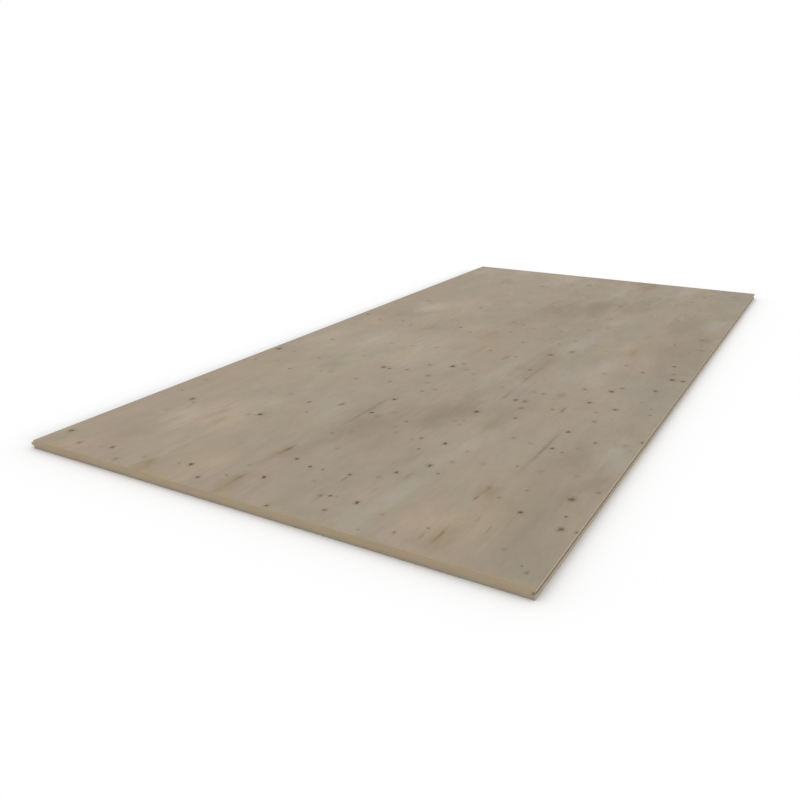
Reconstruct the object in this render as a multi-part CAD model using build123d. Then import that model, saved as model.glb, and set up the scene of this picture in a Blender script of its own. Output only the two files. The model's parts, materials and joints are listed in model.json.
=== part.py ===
from build123d import *
import os
from math import radians, tan

# A tongue-and-groove underlayment panel, in millimetres.
# It lies flat: X runs across the sheet, Y along its face grain, Z up.
# The origin is at the middle of its bounding box, on the floor.

# Sheet
FACE_WIDTH = 1200.0  # what one laid panel covers, shoulder to upper lip
SHEET_LENGTH = 2440.0
THICKNESS = 20.0
ARRIS_RADIUS = 0.6  # the sander's easing along the four long arrises

# Tongue, along the -X edge
TONGUE_LENGTH = 8.0
TONGUE_ROOT = 7.4  # thickness where it leaves the shoulder
FLANK_TAPER = 5.0  # degrees that each flank leans in towards the nose
NOSE_RADIUS = 2.0
JOINT_RISE = 0.8  # tongue and groove sit this far above mid-thickness

# Groove, along the +X edge, cut to take a neighbour's tongue
FLANK_CLEARANCE = 0.25  # above and below the tongue
NOSE_CLEARANCE = 0.6  # beyond the tongue's nose, for dust and swelling
LOWER_LIP_SETBACK = 0.3  # lets the faces close before the undersides do
LEAD_IN_RADIUS = 0.7  # rounds both lips where the tongue enters
CUTTER_RADIUS = 0.9  # the two corners at the groove's bottom

# Places that both edges share
OVERALL_WIDTH = FACE_WIDTH + TONGUE_LENGTH
NOSE_X = -OVERALL_WIDTH / 2
SHOULDER_X = NOSE_X + TONGUE_LENGTH
UPPER_LIP_X = OVERALL_WIDTH / 2
JOINT_Z = THICKNESS / 2 + JOINT_RISE


def flank(distance, clearance=0.0):
    """Half the joint's thickness at a distance from the shoulder or the upper lip."""
    return TONGUE_ROOT / 2 + clearance - distance * tan(radians(FLANK_TAPER))


def tongue_corners():
    """Points and radii round the tongue, from the upper shoulder down to the lower."""
    root = flank(0)
    nose = flank(TONGUE_LENGTH)
    return [
        ((SHOULDER_X, JOINT_Z + root), 0),
        ((NOSE_X, JOINT_Z + nose), NOSE_RADIUS),
        ((NOSE_X, JOINT_Z - nose), NOSE_RADIUS),
        ((SHOULDER_X, JOINT_Z - root), 0),
    ]


def groove_corners():
    """Points and radii round the groove, from the lower lip up to the upper."""
    depth = TONGUE_LENGTH + NOSE_CLEARANCE
    lower_lip_x = UPPER_LIP_X - LOWER_LIP_SETBACK
    bottom_x = UPPER_LIP_X - depth
    upper_mouth = flank(0, FLANK_CLEARANCE)
    lower_mouth = flank(LOWER_LIP_SETBACK, FLANK_CLEARANCE)
    bottom = flank(depth, FLANK_CLEARANCE)
    return [
        ((lower_lip_x, 0), ARRIS_RADIUS),
        ((lower_lip_x, JOINT_Z - lower_mouth), LEAD_IN_RADIUS),
        ((bottom_x, JOINT_Z - bottom), CUTTER_RADIUS),
        ((bottom_x, JOINT_Z + bottom), CUTTER_RADIUS),
        ((UPPER_LIP_X, JOINT_Z + upper_mouth), LEAD_IN_RADIUS),
        ((UPPER_LIP_X, THICKNESS), ARRIS_RADIUS),
    ]


def panel_section():
    """The sheet's cross-section, which is the same from one butt end to the other."""
    corners = [
        ((SHOULDER_X, 0), ARRIS_RADIUS),
        *groove_corners(),
        ((SHOULDER_X, THICKNESS), ARRIS_RADIUS),
        *tongue_corners(),
    ]
    points = [point for point, _ in corners]
    radii = [radius for _, radius in corners]
    with BuildSketch(Plane.XZ) as section:
        with BuildLine():
            FilletPolyline(*points, radius=radii, close=True)
        make_face()
    return section.sketch


def underlayment_panel():
    """The whole sheet: its section run from end to end, with square-cut butt ends."""
    return extrude(panel_section(), amount=SHEET_LENGTH / 2, both=True)


os.makedirs("parts", exist_ok=True)
export_step(underlayment_panel(), "parts/underlayment_panel.step")
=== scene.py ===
import json
import math

import bpy
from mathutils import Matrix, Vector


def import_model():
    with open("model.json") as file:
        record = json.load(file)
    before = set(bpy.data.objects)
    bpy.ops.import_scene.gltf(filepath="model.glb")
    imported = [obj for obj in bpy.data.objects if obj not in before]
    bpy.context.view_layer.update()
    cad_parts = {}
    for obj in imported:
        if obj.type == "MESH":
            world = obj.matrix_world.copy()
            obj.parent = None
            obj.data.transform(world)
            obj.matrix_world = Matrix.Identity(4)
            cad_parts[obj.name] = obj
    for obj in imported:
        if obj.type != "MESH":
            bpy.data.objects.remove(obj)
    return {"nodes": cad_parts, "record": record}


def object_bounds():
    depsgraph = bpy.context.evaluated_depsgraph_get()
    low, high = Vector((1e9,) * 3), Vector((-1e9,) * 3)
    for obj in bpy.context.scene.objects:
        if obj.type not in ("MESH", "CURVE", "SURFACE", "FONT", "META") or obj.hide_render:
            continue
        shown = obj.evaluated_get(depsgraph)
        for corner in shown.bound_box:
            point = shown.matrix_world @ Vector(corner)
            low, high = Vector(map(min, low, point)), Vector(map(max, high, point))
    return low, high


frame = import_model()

CAD_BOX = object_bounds()

# The sheet's own sizes and places, in metres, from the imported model.
# X runs across the sheet from the tongue to the groove, Y along its grain, Z up.
LOWEST, HIGHEST = CAD_BOX
MOUNTS = {mount["name"]: mount["pos_m"] for mount in frame["record"]["mounts"]}
MIDDLE_OF_FACE = MOUNTS["face"][0]
UPPER_LIP_X = HIGHEST[0]
FACE_WIDTH = 2 * (UPPER_LIP_X - MIDDLE_OF_FACE)
SHOULDER_X = UPPER_LIP_X - FACE_WIDTH
SHEET_LENGTH = HIGHEST[1] - LOWEST[1]
THICKNESS = HIGHEST[2] - LOWEST[2]

# Camera: the photograph's place and direction, from the middle of the sheet
LENS_MM = 36.087
SENSOR_MM = 36.0
CLIP_END = 100.0
YAW_DEG = 29.976
PITCH_DEG = 20.001
CAMERA_FROM_FACE = (0.95184, -2.25315, 0.72416)

# Floor, in metres
FLOOR_SIZE = 60.0
SHADOW_REACH = 0.12
SHADOW_SAMPLES = 8
# The light comes a little more from the groove's side: how far the floor's outlook leans
LEAN_LEFT = 0.58
LEAN_RIGHT = 0.09
LEAN_STARTS_OVER = 0.02
# Along the tongue's side the shadow is deeper still, over a narrow strip
SIDE_SHADE = 0.09
SIDE_SHADE_FULL = 0.048
SIDE_SHADE_GONE = 0.09
SIDE_SHADE_STARTS_OVER = 0.05
# How bright the floor is, by how much of the room it sees
SHADOW_TONES = [
    (0.50, (0.70, 0.68, 0.66)),
    (0.62, (0.79, 0.78, 0.77)),
    (0.73, (0.90, 0.898, 0.896)),
    (1.00, (1.0, 1.0, 1.0)),
]

# From here on, places on the sheet are in millimetres: x from the tongue's shoulder, y from
# the near butt end, z from the underside. The veneer's figure repeats itself along the sheet.
MM = 1000.0
WIDTH = FACE_WIDTH * MM
LENGTH = SHEET_LENGTH * MM
DEPTH = THICKNESS * MM
FIGURE_REPEAT = 1293.0
UNDERSIDE_SHIFT = 455.0
# Marks may be pushed about by this much, so those near the seam are made on both sides of it
SEAM_MARGIN = 40.0
# Marks get fainter from the first of these places along the sheet to the second
FADES_OVER = (1250.0, 1450.0)
FADED = 0.5

# Pin knots as (x, y, radius), by how dark they are
KNOTS_DARK = [
    (27, 82, 7), (187, 61, 5.5), (340, 383, 7.5), (402, 81, 6), (575, 108, 5),
    (578, 214, 5), (570, 529, 5.5), (570, 640, 6), (626, 196, 4), (799, 109, 5.5),
    (815, 447, 5.5), (1031, 540, 5.5), (1031, 650, 6), (1083, 227, 5),
    (1155, 1157, 8.5), (1037, 979, 7.5), (575, 967, 9), (791, 664, 7.5), (25, 860, 9),
    (1155, 55, 2), (1105, 617, 4.5), (797, 262, 5),
]
KNOTS_BROWN = [
    (118, 383, 8.5), (392, 514, 5.5), (739, 107, 4), (405, 861, 9), (840, 325, 7),
    (763, 53, 4.5), (842, 790, 6.5), (1183, 1158, 8), (1084, 849, 7), (1013, 866, 7.5),
    (891, 670, 5), (1162, 252, 3.5), (140, 364, 3.5), (179, 713, 4.2), (1137, 1040, 7),
    (427, 858, 5.5), (781, 1217, 8), (35, 733, 4), (781, 1047, 5.5), (1132, 1285, 7),
    (1148, 325, 8.5), (1169, 202, 7), (1197, 205, 3.5), (1195, 670, 4.5), (673, 522, 4.5),
    (719, 205, 5), (658, 12, 4.5), (778, 390, 4), (458, 41, 4.5),
]
KNOTS_MID = [
    (474, 543, 7.5), (561, 372, 4.2), (502, 77, 3.6), (658, 198, 4.2), (754, 448, 5.5),
    (722, 97, 4), (857, 22, 3.6), (874, 299, 3.6), (877, 431, 3.2), (935, 552, 5),
    (963, 90, 3.2), (1000, 414, 3.4), (1025, 262, 3.4), (1060, 317, 3.2), (1185, 378, 4.5),
    (1169, 39, 3.6), (394, 733, 5.6), (476, 874, 6), (487, 757, 5), (511, 945, 6),
    (445, 1115, 4.5), (553, 855, 7), (592, 1004, 6), (602, 731, 5.2), (604, 1170, 5.5),
    (888, 871, 6.5), (948, 772, 4.6), (971, 962, 6.6), (1055, 1018, 7), (1063, 744, 5.4),
    (1148, 1208, 5), (827, 1280, 8.6), (1067, 1183, 6), (1010, 1223, 5.6), (45, 421, 5.2),
    (242, 21, 5.5), (102, 43, 7), (108, 1030, 6), (918, 45, 3.8), (1160, 896, 3.6),
    (1168, 852, 3.6), (430, 451, 3.4), (190, 842, 5), (877, 742, 7), (1080, 568, 3),
    (1057, 528, 3.6), (697, 1150, 4.2), (1048, 806, 4), (378, 70, 3), (867, 793, 9),
]
KNOTS_FAINT = [
    (163, 52, 4), (288, 59, 6), (118, 292, 7), (316, 368, 7), (22, 432, 4), (597, 513, 8),
    (40, 518, 6), (262, 522, 5), (315, 540, 6), (512, 140, 5), (674, 143, 4.5), (667, 477, 6),
    (688, 450, 5), (620, 560, 7), (595, 400, 5), (622, 305, 5), (751, 110, 4), (741, 430, 4),
    (772, 581, 6), (791, 565, 6), (790, 595, 6.5), (776, 226, 5), (864, 92, 5), (872, 365, 6),
    (935, 390, 6), (980, 542, 6), (1054, 414, 5.5), (1109, 90, 4.5), (1124, 430, 6), (1167, 634, 8),
    (82, 860, 7), (102, 757, 5), (268, 742, 5), (297, 750, 7), (293, 932, 6), (372, 1095, 6),
    (296, 1090, 6), (583, 800, 7), (625, 760, 6), (660, 930, 6.5), (622, 957, 7), (800, 970, 8),
    (772, 865, 5), (862, 872, 7), (934, 885, 12), (1128, 935, 5), (974, 1116, 7),
]

# Soft patches of tone as (x, y, half width, half length, lighter by %, warmer by %)
PATCHES = [
    (175, 300, 100, 105, 16, -2), (190, 340, 110, 150, 7, 0), (270, 390, 110, 160, 11, 1),
    (830, 60, 50, 280, 12, -6), (850, 440, 65, 150, 12, -5), (1165, 560, 70, 120, 9, -7),
    (450, 530, 60, 90, 9, -5), (420, 1080, 130, 230, 14, -1), (230, 1120, 90, 150, 13, -2),
    (970, 1130, 70, 260, 14, -2), (715, 950, 50, 240, 11, -6), (900, 1050, 90, 380, 3, -5),
    (300, 1000, 250, 450, 7, -1), (70, 1090, 90, 190, 7, 1), (90, 20, 60, 100, 8, 4),
    (270, 150, 90, 120, 7, 0), (440, 90, 60, 120, 10, 5), (760, 130, 40, 80, 3, -3),
    (950, 110, 60, 150, 8, 2), (560, 1010, 60, 190, 8, 0), (560, 330, 60, 330, -9, 1),
    (640, 480, 110, 260, -13, 0), (728, 625, 70, 180, -20, 1), (590, 460, 50, 150, -6, 1),
    (850, 665, 75, 150, -12, 1), (780, 650, 45, 100, -8, 0), (1070, 500, 75, 250, -13, 0),
    (1130, 150, 110, 300, -10, -1), (1160, 370, 55, 110, -12, -1), (785, 1130, 60, 240, -16, 3),
    (1140, 1050, 110, 380, -6, -4), (245, 860, 80, 90, -13, -1), (580, 1200, 60, 180, -4, 5),
    (150, 150, 60, 80, -7, -2), (120, 120, 260, 320, 0, 2), (250, 640, 400, 850, 3, 0),
    (60, 600, 120, 500, 0, 2), (330, 30, 60, 90, -7, 4), (820, 800, 90, 240, 0, -2),
    (1050, 150, 120, 200, 0, 3), (1230, 1290, 90, 160, -12, 0), (605, 80, 14, 70, -8, 0),
    (290, 290, 50, 80, 3, 4), (980, 790, 25, 120, -5, 0), (455, 300, 60, 160, -3, 1),
    (900, 760, 60, 160, -5, 0), (1090, 1200, 70, 160, -6, 1), (880, 1240, 60, 140, -5, -1),
    (700, 180, 60, 260, -4, 0), (350, 1010, 90, 150, -8, 0), (650, 600, 60, 90, -4, 1),
    (560, 120, 60, 140, 0, 3), (345, 300, 70, 80, 3, 2), (750, 550, 60, 90, -8, 0),
    (90, 1020, 110, 110, 8, 0), (450, 650, 60, 90, 5, 0), (850, 550, 60, 80, 5, 0),
    (1150, 700, 70, 120, -7, 0), (840, 210, 40, 170, 6, -4), (150, 230, 55, 130, 5, 0),
    (310, 260, 90, 90, 6, 0), (1100, 300, 120, 420, -4, 0), (760, 300, 45, 200, -5, -1),
    (850, 1180, 70, 110, -5, 0), (840, 860, 50, 90, -5, 0), (550, 350, 50, 60, 4, 0),
]
# A cooler patch also loses this share of its change from the green
GREEN_WITH_COOLER = 0.2

# Pitch, as soft smears and as thin dark lines: (x, y, half width, half length, strength)
SMEARS = [
    (530, 46, 34, 82, 0.85), (527, 222, 26, 70, 0.95), (996, 64, 34, 78, 0.7),
    (966, 48, 26, 46, 0.45), (994, 272, 33, 60, 0.72), (738, 640, 22, 90, 0.3),
    (800, 1135, 22, 85, 0.6), (315, 32, 26, 60, 0.9), (243, 348, 20, 50, 0.5),
    (280, 295, 18, 52, 0.5), (828, 262, 10, 30, 0.6), (675, 1130, 16, 52, 0.7),
    (720, 85, 10, 40, 0.4), (720, 185, 10, 34, 0.5), (809, 815, 9, 80, 0.6),
    (575, 1150, 14, 90, 0.4), (552, 530, 11, 150, 0.4), (930, 860, 16, 60, 0.4),
    (38, 20, 30, 50, 0.3), (548, 18, 34, 44, 0.5), (290, 160, 16, 150, 0.3),
    (322, 130, 12, 110, 0.3),
]
LINES = [
    (532, 84, 9, 38, 0.45), (530, 245, 10, 34, 0.7), (992, 80, 6, 50, 0.45),
    (966, 60, 3, 22, 0.4), (988, 238, 4, 20, 0.8), (992, 278, 8, 26, 0.5),
    (1016, 530, 9, 180, 0.6), (1059, 133, 2.5, 26, 0.8), (1025, 155, 2.5, 20, 0.8),
    (971, 154, 2, 10, 0.6), (722, 88, 4, 26, 0.3), (721, 190, 4, 24, 0.5),
    (805, 1000, 7, 170, 0.4), (803, 1045, 4, 60, 0.5), (809, 810, 5, 80, 0.4),
    (555, 545, 8, 190, 0.45), (738, 640, 4, 80, 0.2), (800, 170, 3, 22, 0.55),
    (826, 262, 4, 24, 0.3), (675, 1130, 7, 40, 0.55), (973, 785, 7, 40, 0.9),
    (1186, 620, 3, 40, 0.3),
]


def linear(r, g, b):
    """A colour as it looks on screen, 0 to 255, in the renderer's linear values."""
    def one(v):
        v /= 255
        return v / 12.92 if v <= 0.04045 else ((v + 0.055) / 1.055) ** 2.4
    return one(r), one(g), one(b)


FACE_COLOUR = linear(160, 147, 129)
BUTT_COLOUR = linear(164, 147, 121)
# The butt end's foot colour is painted shade, darker and greyer where the end meets the floor
BUTT_FOOT_PAINTED_SHADE = linear(151, 141, 128)
# The long edges' colour is painted light: lighter than the face, as if lit more from the sides
LONG_EDGE_PAINTED_LIGHT = linear(176, 164, 145)
PITCH_PALE = linear(142, 123, 90)
PITCH_DARK = linear(106, 89, 64)
KNOT_HALO_COLOUR = linear(122, 102, 72)
KNOT_HEART_COLOUR = linear(120, 94, 64)

# Each kind of knot: which, the ring's colour and strength, and the strength of the heart
KNOT_KINDS = [
    (KNOTS_FAINT, linear(128, 116, 99), 0.4, 0.0),
    (KNOTS_MID, linear(114, 101, 80), 0.7, 0.0),
    (KNOTS_BROWN, linear(102, 85, 62), 0.85, 0.5),
    (KNOTS_DARK, linear(86, 73, 50), 0.95, 0.4),
]
# Knots are a little longer than wide. Their parts end over these distances, in knot radii
KNOT_STRETCH = 1.25
HALO_ENDS = (0.7, 2.2)
RING_ENDS = (0.25, 1.08)
HEART_ENDS = (0.05, 0.4)
HALO_SHARE = 0.42

# Noises as size of the lumps across, along and through the sheet, detail and roughness
MOTTLE = ((34, 90, 40), 2.0, 0.6)
FLECK = ((9, 26, 40), 2.0, 0.6)
GRAIN = ((3.5, 70, 40), 3.0, 0.6)
FIBRE = ((0.9, 22, 20), 2.0, 0.5)
PORES = ((0.45, 7, 10), 2.0, 0.6)
RINGS = ((7, 420, 60), 3.0, 0.6)
DRIFT = ((110, 240, 60), 1.0, 0.5)
BLUSH = ((16, 46, 40), 2.0, 0.5)
PITCH_BREAKS = ((7, 30, 40), 3.0, 0.65)
HALO_BREAKS = ((4, 7, 20), 2.0, 0.6)
WEAR = ((30, 60, 40), 3.0, 0.65)
PLY_WOBBLE = ((18, 18, 40), 2.0, 0.5)
SIDE_GRAIN = ((22, 22, 0.4), 3.0, 0.6)
END_GRAIN = ((0.8, 0.8, 0.55), 3.0, 0.6)
BANDS = ((1, 1, 2.4), 0.0, 0.5)
EDGE_DRIFT = ((38, 160, 16), 2.0, 0.6)

# How marks are pushed about, in steps: size of the noise, and how far it pushes
LOOSE = [((110, 200, 1), (130, 200, 0)), ((13, 110, 1), (30, 170, 0))]
RAGGED = [((17, 42, 1), (30, 80, 0))]
WAVY = [((14, 60, 1), (9, 30, 0))]
LUMPY = [((6, 9, 1), (7, 10, 0))]

# The face's tone: its level, how much lighter it is before the marks fade, and how much
# of the tone each noise carries
FACE_LEVEL = 0.977
BEFORE_FADING = 0.04
MOTTLE_TONE = 0.20
FLECK_TONE = 0.08
GRAIN_TONE = 0.06
FIBRE_TONE = 0.06
PORE_TONE = -0.10
RING_TONE = -0.05
PORES_FROM = (0.57, 0.72)
RING_HALF_WIDTH = 0.035

# How far colours drift, as shares of red, green and blue
FACE_DRIFT = (0.10, 0.06, 0.14)
FACE_BLUSH = (0.08, 0.07, 0.10)
SAWN_DRIFT = (0.28, 0.24, 0.40)
MILLED_DRIFT = (0.10, 0.09, 0.12)

# Where the pitch and the halos break up, and how faint they are in the breaks
PITCH_BREAKS_OVER = (0.3, 0.66)
PITCH_IN_BREAKS = 0.4
HALO_BREAKS_OVER = (0.36, 0.6)
HALO_IN_BREAKS = 0.25
SMEAR_BROKEN = 0.8
SMEAR_WHOLE = 0.1

# Edges: how deep below a surface its look ends, the plies, and the butt end's foot, darkened with
# painted shade where it meets the floor
FACE_SKIN = (0.05, 0.5)
BUTT_SKIN = (0.02, 0.3)
FOOT_PAINTED_SHADE_ENDS = (1.0, 11.0)
PLIES = 7
WOBBLE = 0.16
GLUE_FROM = (0.44, 0.485)
GLUE_TONE = -0.17
END_GRAIN_TONE = -0.04
EDGE_TEXTURE_TONE = 0.24
BAND_TONE = 0.10
EDGE_LEVEL = 0.862

# The butt ends' colour creeps on to the face, with a ragged border
WEAR_RAGGED = 130.0
WEAR_ENDS = (-76.0, -44.0)
WEAR_STRENGTH = 0.75

# Surface
SPECULAR = 0.12
ROUGHNESS = 0.62
GRAIN_ROUGHER = 0.16
PITCH_SMOOTHER = -0.14
BUMP_STRENGTH = 0.4
BUMP_DISTANCE = 0.0003
GRAIN_HEIGHT = 0.5
FIBRE_HEIGHT = 0.5
PORE_HEIGHT = -0.35


class Graph:
    """Builds one material's nodes. A value may be a socket, a number or a triple."""

    def __init__(self, name):
        self.material = bpy.data.materials.new(name)
        self.material.use_nodes = True
        self.tree = self.material.node_tree
        self.tree.nodes.clear()

    def node(self, kind, **settings):
        node = self.tree.nodes.new("ShaderNode" + kind)
        for name, value in settings.items():
            setattr(node, name, value)
        return node

    def put(self, socket, value):
        if isinstance(value, bpy.types.NodeSocket):
            self.tree.links.new(value, socket)
        elif isinstance(value, tuple) and len(socket.default_value) == 4:
            socket.default_value = (*value, 1)
        else:
            socket.default_value = value

    def math(self, operation, *values):
        node = self.node("Math", operation=operation)
        for socket, value in zip(node.inputs, values):
            self.put(socket, value)
        return node.outputs[0]

    def vector(self, operation, *values):
        node = self.node("VectorMath", operation=operation)
        for socket, value in zip(node.inputs, values):
            self.put(socket, value)
        return node.outputs["Value" if operation == "LENGTH" else "Vector"]

    def split(self, vector):
        node = self.node("SeparateXYZ")
        self.put(node.inputs[0], vector)
        return node.outputs

    def join(self, x, y, z):
        node = self.node("CombineXYZ")
        for socket, value in zip(node.inputs, (x, y, z)):
            self.put(socket, value)
        return node.outputs[0]

    def scaled(self, colour, factor):
        """The colour times one number."""
        return self.vector("MULTIPLY", colour, self.join(factor, factor, factor))

    def ease(self, value, start, end, low=0.0, high=1.0):
        """A smooth step from low at start to high at end."""
        node = self.node("MapRange", interpolation_type="SMOOTHSTEP")
        for socket, number in zip(node.inputs, (value, start, end, low, high)):
            self.put(socket, number)
        return node.outputs[0]

    def mix(self, factor, a, b):
        node = self.node("Mix", data_type="RGBA")
        self.put(node.inputs[0], factor)
        for socket, value in zip(node.inputs[6:8], (a, b)):
            self.put(socket, value)
        return node.outputs[2]

    def noise(self, vector, size, detail, roughness, colour=False):
        """Noise whose lumps are size (x, y, z) in the vector's own unit."""
        scaled = self.vector("DIVIDE", vector, tuple(float(s) for s in size))
        node = self.node("TexNoise")
        self.put(node.inputs["Vector"], scaled)
        self.put(node.inputs["Scale"], 1.0)
        self.put(node.inputs["Detail"], detail)
        self.put(node.inputs["Roughness"], roughness)
        return node.outputs["Color" if colour else "Fac"]

    def add_share(self, total, value, share, middle=0.0):
        """The total plus a share of how far the value is from its middle."""
        if middle:
            total = self.math("SUBTRACT", total, share * middle)
        return self.math("MULTIPLY_ADD", value, share, total)

    def drifting(self, colour, noise, amount):
        """The colour, each channel pushed up or down by as much as half its amount."""
        middle = tuple(1 - a / 2 for a in amount)
        return self.vector("MULTIPLY", colour, self.vector("MULTIPLY_ADD", noise, amount, middle))


def camera():
    data = bpy.data.cameras.new("photo_camera")
    data.lens = LENS_MM
    data.sensor_width = SENSOR_MM
    data.clip_end = CLIP_END
    cam = bpy.data.objects.new("photo_camera", data)
    x, y, z = CAMERA_FROM_FACE
    cam.location = (x + MIDDLE_OF_FACE, y, z)
    cam.rotation_euler = (math.radians(90 - PITCH_DEG), 0, math.radians(YAW_DEG))
    bpy.context.scene.collection.objects.link(cam)
    bpy.context.scene.camera = cam


def floor_outlook(g, x):
    """The direction in which the floor looks for light, which leans away from the tongue's side."""
    lean_left = g.ease(x, SHOULDER_X - LEAN_STARTS_OVER, SHOULDER_X, LEAN_LEFT, 0.0)
    lean_right = g.ease(x, UPPER_LIP_X, UPPER_LIP_X + LEAN_STARTS_OVER, 0.0, LEAN_RIGHT)
    return g.vector("NORMALIZE", g.join(g.math("ADD", lean_left, lean_right), 0.0, 1.0))


def side_light(g, x, y):
    """What the narrow strip of shade along the tongue's side leaves of the floor's light."""
    shade = g.ease(x, SHOULDER_X - SIDE_SHADE_GONE, SHOULDER_X - SIDE_SHADE_FULL, 0.0, SIDE_SHADE)
    shade = g.math("MULTIPLY", shade, g.math("LESS_THAN", x, 0.0))
    from_end = g.math("SUBTRACT", SHEET_LENGTH / 2, g.math("ABSOLUTE", y))
    along = g.ease(from_end, 0.0, SIDE_SHADE_STARTS_OVER)
    return g.math("SUBTRACT", 1.0, g.math("MULTIPLY", shade, along))


def floor():
    """A white floor whose contact shadow deepens close to the sheet."""
    bpy.ops.mesh.primitive_plane_add(size=FLOOR_SIZE)
    obj = bpy.context.object
    obj.name = "floor"
    g = Graph("floor_white")
    x, y, _ = g.split(g.node("NewGeometry").outputs["Position"])
    ao = g.node("AmbientOcclusion", samples=SHADOW_SAMPLES)
    ao.inputs["Distance"].default_value = SHADOW_REACH
    g.put(ao.inputs["Normal"], floor_outlook(g, x))
    ramp = g.node("ValToRGB")
    points = ramp.color_ramp.elements
    while len(points) < len(SHADOW_TONES):
        points.new(0.5)
    for point, (seen, colour) in zip(points, SHADOW_TONES):
        point.position = seen
        point.color = (*colour, 1)
    g.put(ramp.inputs[0], ao.outputs["AO"])
    diffuse = g.node("BsdfDiffuse")
    g.put(diffuse.inputs["Color"], g.scaled(ramp.outputs[0], side_light(g, x, y)))
    out = g.node("OutputMaterial")
    g.put(out.inputs[0], diffuse.outputs[0])
    obj.data.materials.append(g.material)


def world():
    """Even white light from all round."""
    w = bpy.data.worlds.new("studio")
    w.use_nodes = True
    w.node_tree.nodes["Background"].inputs["Color"].default_value = (1, 1, 1, 1)
    bpy.context.scene.world = w


def sheet_place(g):
    """Millimetres from the near left corner of the underside."""
    coordinates = g.node("TexCoord").outputs["Object"]
    corner = (-SHOULDER_X * MM, LENGTH / 2, 0.0)
    return g.vector("MULTIPLY_ADD", coordinates, (MM, MM, MM), corner)


def figure_place(g, place):
    """Where the figure is read: repeated along the sheet, turned over for the underside."""
    x, y, z = g.split(place)
    under = g.math("LESS_THAN", z, DEPTH / 2)
    turned = g.math("SUBTRACT", WIDTH, x)
    flipped_x = g.math("MULTIPLY_ADD", g.math("SUBTRACT", turned, x), under, x)
    shifted_y = g.math("MULTIPLY_ADD", under, UNDERSIDE_SHIFT, y)
    wrapped_y = g.math("WRAP", shifted_y, FIGURE_REPEAT, 0.0)
    return g.join(flipped_x, wrapped_y, 0.0)


def pushed(g, figure, flat, steps):
    """The figure's place pushed about by noise, so that outlines come out uneven."""
    for size, reach in steps:
        noise = g.noise(flat, size, 2.0, 0.5, colour=True)
        push = g.vector("SUBTRACT", noise, (0.5, 0.5, 0.5))
        figure = g.vector("MULTIPLY_ADD", push, tuple(float(r) for r in reach), figure)
    return figure


def distance(g, place, x, y, half_width, half_length):
    """How far the place is from a mark's middle, counted in the mark's own half sizes."""
    scale = (1 / half_width, 1 / half_length, 0.0)
    offset = (-x * scale[0], -y * scale[1], 0.0)
    return g.vector("LENGTH", g.vector("MULTIPLY_ADD", place, scale, offset))


def nearest(g, place, knots):
    """How far the nearest knot is, counted in its own radii."""
    found = None
    for x, y, radius in knots:
        away = distance(g, place, x, y, radius, radius * KNOT_STRETCH)
        found = away if found is None else g.math("MINIMUM", found, away)
    return found


def over_seam(marks):
    """The marks, and once more those that reach over the line where the figure starts again."""
    repeats = [(-FIGURE_REPEAT, FIGURE_REPEAT)[mark[1] < FIGURE_REPEAT / 2] for mark in marks]
    copies = [(mark[0], mark[1] + shift, *mark[2:]) for mark, shift in zip(marks, repeats)]
    return marks + [m for m in copies if -m[3] - SEAM_MARGIN < m[1] < FIGURE_REPEAT + m[3] + SEAM_MARGIN]


def patch_tone(g, place):
    """The figure's broad tones, as a factor on the face colour."""
    tone = (1.0, 1.0, 1.0)
    for x, y, half_width, half_length, light, warm in over_seam(PATCHES):
        share = g.ease(distance(g, place, x, y, half_width, half_length), 0.0, 1.0, 1.0, 0.0)
        green = light + GREEN_WITH_COOLER * min(warm, 0)
        change = ((light + warm) / 100, green / 100, (light - warm) / 100)
        tone = g.vector("MULTIPLY_ADD", change, g.join(share, share, share), tone)
    return tone


def share_of(g, place, marks):
    """How strongly any of the marks covers the place."""
    total = 0.0
    for x, y, half_width, half_length, strength in over_seam(marks):
        away = distance(g, place, x, y, half_width, half_length)
        total = g.math("MAXIMUM", g.ease(away, 0.0, 1.0, strength, 0.0), total)
    return total


def from_side(g, value, size):
    """How far the value is from 0 or from size, whichever is nearer."""
    off_middle = g.math("ABSOLUTE", g.math("SUBTRACT", value, size / 2))
    return g.math("SUBTRACT", size / 2, off_middle)


def veneer(g, place, tone, grain, fibre, pores, fading):
    """The face without its marks: broad patches, then mottling and grain, each drifting in hue."""
    rings = g.math("ABSOLUTE", g.math("SUBTRACT", g.noise(place, *RINGS), 0.5))
    shade = g.math("MULTIPLY_ADD", fading, BEFORE_FADING, FACE_LEVEL)
    shade = g.add_share(shade, g.noise(place, *MOTTLE), MOTTLE_TONE, 0.5)
    shade = g.add_share(shade, g.noise(place, *FLECK), FLECK_TONE, 0.5)
    shade = g.add_share(shade, grain, GRAIN_TONE, 0.5)
    shade = g.add_share(shade, fibre, FIBRE_TONE, 0.5)
    shade = g.add_share(shade, pores, PORE_TONE)
    shade = g.add_share(shade, g.ease(rings, 0.0, RING_HALF_WIDTH, 1.0, 0.0), RING_TONE)
    colour = g.vector("MULTIPLY", tone, FACE_COLOUR)
    colour = g.drifting(colour, g.noise(place, *DRIFT, colour=True), FACE_DRIFT)
    colour = g.drifting(colour, g.noise(place, *BLUSH, colour=True), FACE_BLUSH)
    return g.scaled(colour, shade)


def with_pitch(g, place, face, smear, line, fading):
    """The face with its smears and lines of pitch, which are broken up along the grain."""
    broken = g.ease(g.noise(place, *PITCH_BREAKS), *PITCH_BREAKS_OVER, PITCH_IN_BREAKS, 1.0)
    broken = g.math("MULTIPLY", broken, fading)
    smear_share = g.math("MULTIPLY_ADD", broken, SMEAR_BROKEN, SMEAR_WHOLE)
    face = g.mix(g.math("MULTIPLY", smear, smear_share), face, PITCH_PALE)
    return g.mix(g.math("MULTIPLY", line, broken), face, PITCH_DARK)


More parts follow.
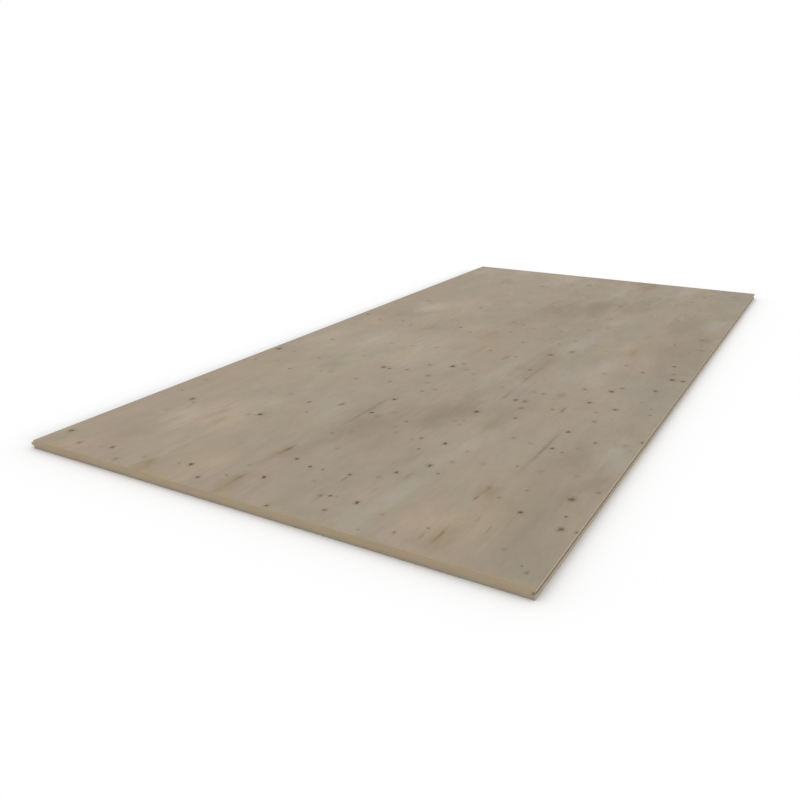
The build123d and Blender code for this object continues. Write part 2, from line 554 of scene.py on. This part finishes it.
def with_knots(g, place, lumpy, face, fading):
    """The face with its pin knots: a dark ring round a browner heart, in a warm halo."""
    patchy = g.ease(g.noise(place, *HALO_BREAKS), *HALO_BREAKS_OVER, HALO_IN_BREAKS, 1.0)
    patchy = g.math("MULTIPLY", patchy, fading)
    for knots, ring_colour, strength, heart_strength in KNOT_KINDS:
        away = nearest(g, lumpy, knots)
        halo = g.ease(away, *HALO_ENDS, HALO_SHARE * strength, 0.0)
        face = g.mix(g.math("MULTIPLY", halo, patchy), face, KNOT_HALO_COLOUR)
        ring = g.ease(away, *RING_ENDS, strength, 0.0)
        face = g.mix(g.math("MULTIPLY", ring, fading), face, ring_colour)
        if heart_strength:
            heart = g.ease(away, *HEART_ENDS, heart_strength, 0.0)
            face = g.mix(g.math("MULTIPLY", heart, fading), face, KNOT_HEART_COLOUR)
    return face


def edge_tone(g, place, butt):
    """The edges' tone: plies whose grain runs by turns along and across, with thin glue lines."""
    z = g.split(place)[2]
    wobble = g.math("MULTIPLY_ADD", g.noise(place, *PLY_WOBBLE), WOBBLE, -WOBBLE / 2)
    ply = g.math("MULTIPLY_ADD", z, PLIES / DEPTH, wobble)
    crossed = g.math("MODULO", g.math("FLOOR", ply), 2.0)
    end_grain = g.math("ABSOLUTE", g.math("SUBTRACT", butt, crossed))
    off_ply_middle = g.math("ABSOLUTE", g.math("SUBTRACT", g.math("FRACT", ply), 0.5))
    glue = g.ease(off_ply_middle, *GLUE_FROM)
    along = g.noise(place, *SIDE_GRAIN)
    across = g.noise(place, *END_GRAIN)
    texture = g.math("ADD", along, g.math("MULTIPLY", end_grain, g.math("SUBTRACT", across, along)))
    bands = g.noise(g.join(0.0, 0.0, z), *BANDS)
    shade = g.math("MULTIPLY_ADD", bands, BAND_TONE, EDGE_LEVEL)
    shade = g.add_share(shade, texture, EDGE_TEXTURE_TONE)
    shade = g.add_share(shade, glue, GLUE_TONE)
    return g.add_share(shade, end_grain, END_GRAIN_TONE)


def surface(g, colour, grain, fibre, pores, pitch):
    """The finished material, from its colour and what makes it rough or uneven."""
    shader = g.node("BsdfPrincipled")
    g.put(shader.inputs["Base Color"], colour)
    shader.inputs["Specular IOR Level"].default_value = SPECULAR
    rough = g.math("MULTIPLY_ADD", grain, GRAIN_ROUGHER, ROUGHNESS)
    g.put(shader.inputs["Roughness"], g.add_share(rough, pitch, PITCH_SMOOTHER))
    bump = g.node("Bump")
    bump.inputs["Strength"].default_value = BUMP_STRENGTH
    bump.inputs["Distance"].default_value = BUMP_DISTANCE
    relief = g.math("MULTIPLY_ADD", grain, GRAIN_HEIGHT, g.math("MULTIPLY", fibre, FIBRE_HEIGHT))
    g.put(bump.inputs["Height"], g.add_share(relief, pores, PORE_HEIGHT))
    g.put(shader.inputs["Normal"], bump.outputs[0])
    out = g.node("OutputMaterial")
    g.put(out.inputs[0], shader.outputs[0])
    return g.material


def plywood():
    """The sheet's one material: veneer on both faces, milled long edges coloured lighter with painted
    light, and sawn butt ends with painted shade at their foot.
    """
    g = Graph("plywood")
    place = sheet_place(g)
    x, y, z = g.split(place)
    flat = g.join(x, y, 0.0)
    figure = figure_place(g, place)
    fading = g.ease(y, *FADES_OVER, 1.0, FADED)
    grain = g.noise(place, *GRAIN)
    fibre = g.noise(place, *FIBRE)
    pores = g.ease(g.noise(place, *PORES), *PORES_FROM)

    tone = patch_tone(g, pushed(g, figure, flat, LOOSE))
    face = veneer(g, place, tone, grain, fibre, pores, fading)
    smear = share_of(g, pushed(g, figure, flat, RAGGED), SMEARS)
    line = share_of(g, pushed(g, figure, flat, WAVY), LINES)
    face = with_pitch(g, place, face, smear, line, fading)
    face = with_knots(g, place, pushed(g, figure, flat, LUMPY), face, fading)

    from_end = from_side(g, y, LENGTH)
    butt = g.ease(from_end, *BUTT_SKIN, 1.0, 0.0)
    drift = g.noise(place, *EDGE_DRIFT, colour=True)
    # The sawn ends darken towards the underside with painted shade near the floor
    sawn = g.mix(g.ease(z, *FOOT_PAINTED_SHADE_ENDS, 1.0, 0.0), BUTT_COLOUR, BUTT_FOOT_PAINTED_SHADE)
    sawn = g.drifting(sawn, drift, SAWN_DRIFT)
    # The milled long edges carry painted light, coloured lighter than the face
    milled = g.drifting(LONG_EDGE_PAINTED_LIGHT, drift, MILLED_DRIFT)
    edge = g.scaled(g.mix(butt, milled, sawn), edge_tone(g, place, butt))
    worn_to = g.math("MULTIPLY_ADD", g.noise(place, *WEAR), -WEAR_RAGGED, from_end)
    face = g.mix(g.ease(worn_to, *WEAR_ENDS, WEAR_STRENGTH, 0.0), face, sawn)
    below_face = g.ease(from_side(g, z, DEPTH), *FACE_SKIN)
    colour = g.mix(below_face, face, edge)
    return surface(g, colour, grain, fibre, pores, g.math("MAXIMUM", smear, line))


panel = frame["nodes"]["underlayment_panel"]
panel.material_slots[0].material = plywood()
camera()
floor()
world()
bpy.context.scene.view_settings.view_transform = "Standard"
